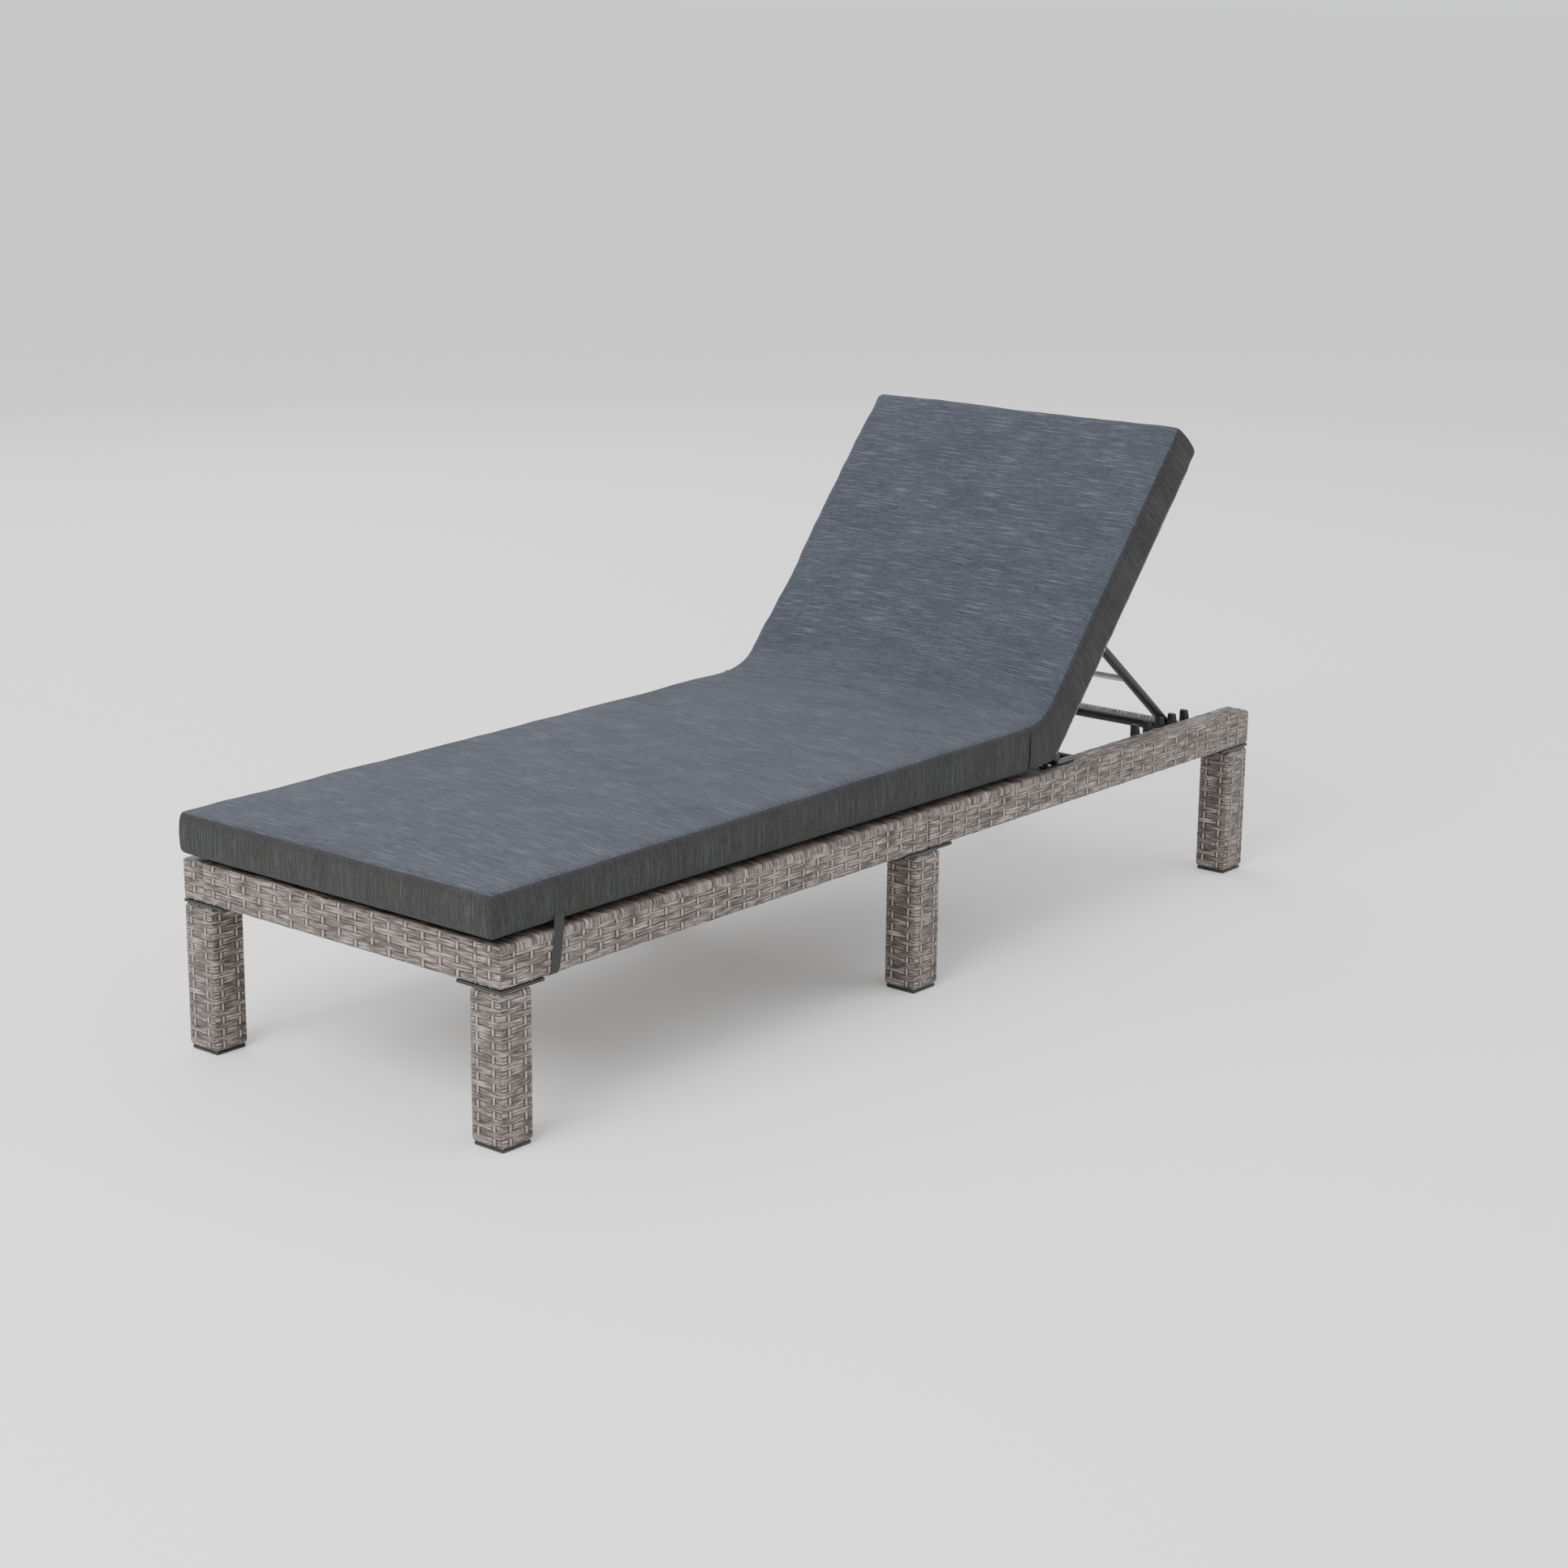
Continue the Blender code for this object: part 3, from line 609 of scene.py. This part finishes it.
def cushion_mesh(settings):
    """A flat cushion with soft faces, sewn edges and puckers, moved onto the fold's outlines."""
    fold = Fold()
    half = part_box("seat_cushion")[1].y
    along = dense_ends(fold.length, 0.0085)
    slit_lines = fold.slit + np.array([-0.006, -SLIT_MOUTH, -SLIT_TOP,
                                       SLIT_TOP, SLIT_MOUTH, 0.006])
    along = np.unique(np.concatenate([along[np.abs(along - fold.slit) > 0.007], slit_lines]))
    across = dense_ends(2 * half, 0.010) - half
    up = dense_ends(THICK, 0.0075)
    points, quads, sides = lattice([along, across, up])
    corner = points[quads]
    side = sides[:, None]
    u = np.where(side == 2, corner[..., 1], corner[..., 2])
    v = np.where(side == 0, corner[..., 1], corner[..., 0])
    low, high = np.array([0, -half, 0]), np.array([fold.length, half, THICK])
    placed, out = rounded(points, low, high, settings.edge)
    from_end = np.minimum(points[:, 0], fold.length - points[:, 0])
    width = np.abs(points[:, 1]) / half
    height = points[:, 2] / THICK
    on_wall = (from_end < 1e-6) | (width > 1 - 1e-6)
    groove = np.exp(-((points[:, 2] - (THICK - settings.edge * 0.9)) / 0.0016) ** 2) * on_wall
    lip = np.exp(-((points[:, 2] - THICK) / 0.0020) ** 2) * on_wall
    puff = np.sin(math.pi * np.clip(height, 0, 1)) * on_wall
    rise = settings.crown * (1 - width ** 2.4) * (1 - np.exp(-from_end / 0.05)) * height ** 2
    soft = ripple(points, 7.5, 3.1) * 0.0022 + ripple(points, 21.0, 8.4) * 0.0010
    pucker = ripple(points * np.array([1.0, 0.2, 0.2]), 46.0, 5.5) * 0.0011 * on_wall
    grown = -0.0013 * groove + 0.0008 * lip + 0.0030 * puff + pucker
    placed = placed + out * (grown + soft * (points[:, 2] > THICK * 0.3))[:, None]
    waist = 0.004 * np.sin(math.pi * np.clip(points[:, 0] / fold.slit, 0, 1)) ** 0.5
    y = placed[:, 1] * (1 - waist / half)
    lower_x, lower_z = fold.lower(np.clip(placed[:, 0], 0, fold.length))
    upper_x, upper_z = fold.upper(np.clip(placed[:, 0], 0, fold.length), 1 - width ** 3)
    t = placed[:, 2] / THICK
    step_x, step_z = upper_x - lower_x, upper_z - lower_z
    reach = np.hypot(step_x, step_z)
    lift = t + rise / reach
    x, z = lower_x + step_x * lift, lower_z + step_z * lift
    beyond = np.where(placed[:, 0] > fold.length, placed[:, 0] - fold.length,
                      np.minimum(placed[:, 0], 0))
    direction = np.where(placed[:, 0] > 1, math.cos(BACK_ANGLE), 1.0)
    climb = np.where(placed[:, 0] > 1, math.sin(BACK_ANGLE), 0.0)
    x, z = x + beyond * direction, z + beyond * climb
    boxing = np.where(on_wall | (height < 0.5), 1.0, 0.0)
    return mesh_object("lounger_cushion", np.stack([x, y, z], axis=-1), quads, "cloth",
                       np.stack([u, v], axis=-1), [("boxing", boxing), ("seam", groove)])


def cushion_strap(name, side, fold_x):
    """A webbing band from the cushion's lower seam, down the rail's face and under it."""
    rail_low, rail_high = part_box(f"side_rail_foot_{'left' if side < 0 else 'right'}")
    face = max(abs(rail_low.y), abs(rail_high.y)) + 0.0012
    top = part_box("seat_cushion")[0].z
    under = rail_low.z
    route = [(face - 0.0060, top + 0.016), (face - 0.0035, top + 0.004), (face, top - 0.012),
             (face + 0.0004, under + 0.012), (face - 0.0006, under + 0.002),
             (face - 0.004, under - 0.0022), (face - 0.020, under - 0.0026),
             (face - 0.045, under - 0.0026)]
    runs = [0, 0.012, 0.030, 0.075, 0.086, 0.090, 0.105, 0.130]
    turned_under, half, slant = runs[4], 0.011, 0.018
    points = []
    for (y, z), run in zip(route, runs):
        lean = fold_x - slant * min(run / turned_under, 1.0)
        points += [(lean + k * half, side * y, z) for k in (-1, 0, 1)]
    quads = [(i * 3 + k, i * 3 + k + 1, i * 3 + k + 4, i * 3 + k + 3)
             for i in range(len(route) - 1) for k in (0, 1)]
    corners = np.array([[(k % 3 * half, runs[k // 3]) for k in quad] for quad in quads])
    obj = mesh_object(name, np.array(points), np.array(quads), "cloth", corners)
    wall = obj.modifiers.new("Wall", "SOLIDIFY")
    wall.thickness, wall.offset = 0.0016, 1.0 if side < 0 else -1.0
    bend = obj.modifiers.new("Bend", "SUBSURF")
    bend.levels = bend.render_levels = 3
    apply_all(obj)
    return obj


# ---------------------------------------------------------------- hard pieces

def select_only(obj):
    bpy.ops.object.select_all(action="DESELECT")
    obj.select_set(True)
    bpy.context.view_layer.objects.active = obj


def apply_all(obj):
    select_only(obj)
    for step in list(obj.modifiers):
        bpy.ops.object.modifier_apply(modifier=step.name)


def bake_place(obj):
    """Put the object's place into its mesh, so that the object sits at the origin."""
    select_only(obj)
    bpy.ops.object.transform_apply(location=True, rotation=True, scale=True)


def turned_bar(name, start, end, radius, bevel=0.0008):
    """A round bar between two points with its rims broken."""
    start, end = Vector(start), Vector(end)
    bpy.ops.object.select_all(action="DESELECT")
    bpy.ops.mesh.primitive_cylinder_add(vertices=48, radius=radius, depth=(end - start).length,
                                        location=(start + end) / 2)
    obj = bpy.context.object
    obj.name = obj.data.name = name
    obj.rotation_euler = (end - start).to_track_quat("Z", "Y").to_euler()
    bake_place(obj)
    rim = obj.modifiers.new("Rim", "BEVEL")
    rim.width, rim.segments, rim.limit_method = bevel, 3, "ANGLE"
    apply_all(obj)
    select_only(obj)
    bpy.ops.object.shade_smooth_by_angle(angle=math.radians(40))
    return obj


def bent_tube(name, route, radius, corner):
    """A round tube bent through a route's corners, its ends closed and dressed."""
    route = [Vector(p) for p in route]
    path = [route[0]]
    for before, here, after in zip(route, route[1:], route[2:]):
        inward, outward = (before - here).normalized(), (after - here).normalized()
        a, b = here + inward * corner, here + outward * corner
        for k in range(9):
            t = k / 8
            path.append(a * (1 - t) ** 2 + here * 2 * t * (1 - t) + b * t ** 2)
    path.append(route[-1])
    curve = bpy.data.curves.new(name, "CURVE")
    curve.dimensions = "3D"
    curve.bevel_depth, curve.bevel_resolution, curve.use_fill_caps = radius, 6, True
    spline = curve.splines.new("POLY")
    spline.points.add(len(path) - 1)
    for point, place in zip(spline.points, path):
        point.co = (*place, 1.0)
    obj = bpy.data.objects.new(name, curve)
    bpy.context.scene.collection.objects.link(obj)
    select_only(obj)
    bpy.ops.object.convert(target="MESH")
    obj = bpy.context.object
    bpy.ops.object.mode_set(mode="EDIT")
    bpy.ops.mesh.select_all(action="SELECT")
    bpy.ops.mesh.remove_doubles(threshold=0.00001)
    bpy.ops.mesh.normals_make_consistent(inside=False)
    bpy.ops.object.mode_set(mode="OBJECT")
    bpy.ops.object.shade_smooth_by_angle(angle=math.radians(40))
    return obj


def joined(name, *objs):
    bpy.ops.object.select_all(action="DESELECT")
    for obj in objs:
        obj.select_set(True)
    bpy.context.view_layer.objects.active = objs[0]
    bpy.ops.object.join()
    objs[0].name = objs[0].data.name = name
    return objs[0]


# ---------------------------------------------------------------- operators

class LOUNGER_OT_rails(bpy.types.Operator):
    """Weave the skins of the side rails, the foot rail and the head tube"""
    bl_idname = "lounger.rails"
    bl_label = "Woven Rails"

    def execute(self, context):
        steps = (0.0026, 0.0020, 0.0018)
        deck_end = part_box("seat_deck")[1].x
        for side_name in SIDES:
            for half in ("foot", "head"):
                node = f"side_rail_{half}_{side_name}"
                low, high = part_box(node)
                shape = self.round_head(high.x, high.z) if half == "head" else None
                rail = weave_box(f"woven_{node}", low, high, 0.006, 0, steps,
                                 wrap_x=deck_end, shape=shape)
                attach(rail, "frame")
                dress(rail, "polyrattan", "polyrattan", node)
        low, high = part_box("foot_rail")
        overlap = Vector((0, 0.004, 0))  # its ends reach just into the side rails' weave
        rail = weave_box("woven_foot_rail", low - overlap, high + overlap,
                         0.006, 1, (0.0020, 0.0026, 0.0018), wrap_x=deck_end)
        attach(rail, "frame")
        dress(rail, "polyrattan", "polyrattan", "foot_rail")
        low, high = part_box("head_cross_tube")
        middle = (low + high) / 2
        tube = wound_tube("wound_head_tube", (middle.x, low.y, middle.z),
                          (middle.x, high.y, middle.z), (high.z - low.z) / 2 - 0.0006)
        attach(tube, "frame")
        dress(tube, "polyrattan", "polyrattan", "head_cross_tube")
        return {"FINISHED"}

    @staticmethod
    def round_head(head_x, top_z, radius=0.010):
        """A shaper that rounds the top corner of a rail's head end, seen from the side."""
        def shape(points):
            centre = np.array([head_x - radius, 0, top_z - radius])
            away = points - centre
            reach = np.hypot(away[:, 0], away[:, 2])
            outside = (away[:, 0] > 0) & (away[:, 2] > 0) & (reach > radius)
            depth = np.maximum(away[:, 0], away[:, 2])
            scale = np.where(outside, depth / np.maximum(reach, 1e-9), 1.0)
            points[:, 0] = centre[0] + away[:, 0] * scale
            points[:, 2] = centre[2] + away[:, 2] * scale
            return points
        return shape


class LOUNGER_OT_legs(bpy.types.Operator):
    """Weave the skins of the six legs"""
    bl_idname = "lounger.legs"
    bl_label = "Woven Legs"

    def execute(self, context):
        weave = context.scene.lounger_weave
        for place in LEG_PLACES:
            for side_name in SIDES:
                node = f"leg_{place}_{side_name}"
                low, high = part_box(node)
                column = (high.x - low.x) / 2
                centre = (low.x + high.x) / 2
                leg = weave_box(f"woven_{node}", low, high, 0.007, 2, (0.0022, 0.0022, 0.0018),
                                offset=(column / 2 - centre, 0.0), spread=weave.warp / column)
                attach(leg, "frame")
                dress(leg, "polyrattan", "polyrattan", node)
        return {"FINISHED"}


class LOUNGER_OT_panels(bpy.types.Operator):
    """Weave the seat deck and the backrest panel"""
    bl_idname = "lounger.panels"
    bl_label = "Woven Panels"

    def execute(self, context):
        low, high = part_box("seat_deck")
        deck = weave_box("woven_seat_deck", low, high, 0.003, 0, (0.0052, 0.0036, 0.0035))
        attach(deck, "frame")
        dress(deck, "polyrattan", "polyrattan", "seat_deck")
        turn = Matrix.Translation(HINGE) @ Euler((0, -BACK_ANGLE, 0)).to_matrix().to_4x4()
        node = frame["nodes"]["backrest_panel"]
        local = [turn.inverted() @ v.co for v in node.data.vertices]
        low = Vector([min(p[a] for p in local) for a in range(3)])
        high = Vector([max(p[a] for p in local) for a in range(3)])

        def stand_up(points):
            basis = np.array(turn)
            return points @ basis[:3, :3].T + basis[:3, 3]
        panel = weave_box("woven_backrest_panel", low, high, 0.0035, 0, (0.0045, 0.0034, 0.0030),
                          shape=stand_up)
        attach(panel, "backrest")
        dress(panel, "polyrattan", "polyrattan", "backrest_panel")
        return {"FINISHED"}


class LOUNGER_OT_cushion(bpy.types.Operator):
    """Sew the one-piece cushion that folds between seat and backrest, and its straps"""
    bl_idname = "lounger.cushion"
    bl_label = "Cushion and Straps"

    def execute(self, context):
        cushion = cushion_mesh(context.scene.lounger_cushion)
        close_ends(cushion)
        dress(cushion, "cloth", "cushion_fabric", "seat_cushion", "back_cushion")
        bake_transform(cushion)
        for side_name, side in SIDES.items():
            low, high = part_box(f"cushion_strap_{side_name}")
            strap = cushion_strap(f"webbing_strap_{side_name}", side, high.x - 0.003)
            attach(strap, "frame")
            dress(strap, "webbing", "strap_webbing", f"cushion_strap_{side_name}")
        return {"FINISHED"}


class LOUNGER_OT_stand(bpy.types.Operator):
    """Bend the stand's tube and set its eyes on the pivot rod"""
    bl_idname = "lounger.stand"
    bl_label = "Stand"

    def execute(self, context):
        low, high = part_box("stand_foot_bar")
        foot = (low + high) / 2
        radius = (high.z - low.z) / 2
        reach = high.y - radius
        route = [(PIVOT.x, -reach, PIVOT.z), (foot.x, -reach, foot.z), (foot.x, reach, foot.z),
                 (PIVOT.x, reach, PIVOT.z)]
        tube = bent_tube("stand_tube", route, radius, 0.030)
        eyes = [turned_bar(f"eye_{n}", (PIVOT.x, s * (reach - radius), PIVOT.z),
                           (PIVOT.x, s * (reach + radius), PIVOT.z), radius + 0.001)
                for n, s in SIDES.items()]
        stand = joined("stand_tube", tube, *eyes)
        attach(stand, "stand")
        dress(stand, "powder_coat", "dark_powder_coat", "stand_arm_left", "stand_arm_right",
              "stand_foot_bar")
        return {"FINISHED"}


class LOUNGER_OT_finishes(bpy.types.Operator):
    """Give every steel, plastic and zinc piece its real finish"""
    bl_idname = "lounger.finishes"
    bl_label = "Finishes"

    def execute(self, context):
        by_slot = {"dark_powder_coat": "powder_coat", "core_steel": "core", "zinc_steel": "zinc",
                   "grey_lacquer": "lacquer", "black_nylon": "nylon", "polyrattan": "polyrattan",
                   "cushion_fabric": "cloth", "strap_webbing": "webbing"}
        for part in frame["record"]["subparts"]:
            node = frame["nodes"][part["node"]]
            made = finish(by_slot[part["material_slot"]])
            if node.material_slots:
                for place in node.material_slots:
                    place.material = made
            else:
                node.data.materials.append(made)
        return {"FINISHED"}


FLOOR_SIZE = 600  # so wide that its far edge lies nearly at the horizon


class LOUNGER_OT_stage(bpy.types.Operator):
    """Set the pale floor, the soft studio light and the camera"""
    bl_idname = "lounger.stage"
    bl_label = "Stage"

    def execute(self, context):
        settings = context.scene.lounger_stage
        bpy.ops.object.select_all(action="DESELECT")
        bpy.ops.mesh.primitive_plane_add(size=FLOOR_SIZE, location=(0, 0, 0))
        floor = context.object
        floor.name = "studio_floor"
        made, tree, shader = new_material("matt_studio_floor", 0.9, colour=tuple(settings.floor))
        floor.data.materials.append(made)
        self.light("key", (-4.8, -0.6, 4.4), 3.6, 340)
        self.light("fill", (2.6, -4.4, 3.2), 4.5, 55)
        self.light("rim", (2.0, 4.4, 4.2), 4.0, 120)
        world = bpy.data.worlds.new("studio")
        context.scene.world = world
        world.use_nodes = True
        background = world.node_tree.nodes["Background"]
        background.inputs["Color"].default_value = (0.97, 0.98, 1.0, 1.0)
        background.inputs["Strength"].default_value = 1.15
        self.camera(context, settings)
        return {"FINISHED"}

    @staticmethod
    def light(name, place, size, power):
        lamp = bpy.data.lights.new(name, "AREA")
        lamp.size, lamp.energy = size, power
        obj = bpy.data.objects.new(name, lamp)
        obj.location = place
        aim = Vector((0, 0, 0.3)) - Vector(place)
        obj.rotation_euler = aim.to_track_quat("-Z", "Y").to_euler()
        bpy.context.scene.collection.objects.link(obj)

    @staticmethod
    def camera(context, settings):
        """Standing height, looking along and across the lounger from its foot end."""
        heading, dip, roll = (math.radians(a) for a in (50.183, 14.549, 0.583))
        forward = Vector((math.sin(heading) * math.cos(dip), math.cos(heading) * math.cos(dip),
                          -math.sin(dip)))
        lens = bpy.data.cameras.new("camera")
        lens.lens, lens.sensor_width = settings.lens, 36.0
        camera = bpy.data.objects.new("camera", lens)
        camera.location = (-3.8994, -3.2883, 1.6243)
        turn = forward.to_track_quat("-Z", "Y").to_matrix() @ Matrix.Rotation(roll, 3, "Z")
        camera.rotation_euler = turn.to_euler()
        context.scene.collection.objects.link(camera)
        context.scene.camera = camera


class LOUNGER_PT_panel(bpy.types.Panel):
    """Lists the lounger's pieces and their settings"""
    bl_label = "Lounger"
    bl_space_type = "VIEW_3D"
    bl_region_type = "UI"
    bl_category = "Lounger"

    def draw(self, context):
        for group in (context.scene.lounger_weave, context.scene.lounger_cushion,
                      context.scene.lounger_stage):
            box = self.layout.box()
            for key in group.bl_rna.properties.keys():
                if key not in ("rna_type", "name"):
                    box.prop(group, key)
        for operator in OPERATORS:
            self.layout.operator(operator.bl_idname)


OPERATORS = (LOUNGER_OT_finishes, LOUNGER_OT_rails, LOUNGER_OT_legs, LOUNGER_OT_panels,
             LOUNGER_OT_cushion, LOUNGER_OT_stand, LOUNGER_OT_stage)
SETTINGS = {"lounger_weave": WeaveSettings, "lounger_cushion": CushionSettings,
            "lounger_stage": StageSettings}


def register():
    for made in (*SETTINGS.values(), *OPERATORS, LOUNGER_PT_panel):
        bpy.utils.register_class(made)
    for key, kind in SETTINGS.items():
        setattr(bpy.types.Scene, key, PointerProperty(type=kind))


def unregister():
    for key in SETTINGS:
        delattr(bpy.types.Scene, key)
    for made in (LOUNGER_PT_panel, *reversed(OPERATORS), *SETTINGS.values()):
        bpy.utils.unregister_class(made)


def main():
    register()
    bpy.ops.lounger.finishes()
    bpy.ops.lounger.rails()
    bpy.ops.lounger.legs()
    bpy.ops.lounger.panels()
    bpy.ops.lounger.cushion()
    bpy.ops.lounger.stand()
    bpy.ops.lounger.stage()


if __name__ == "__main__":
    main()
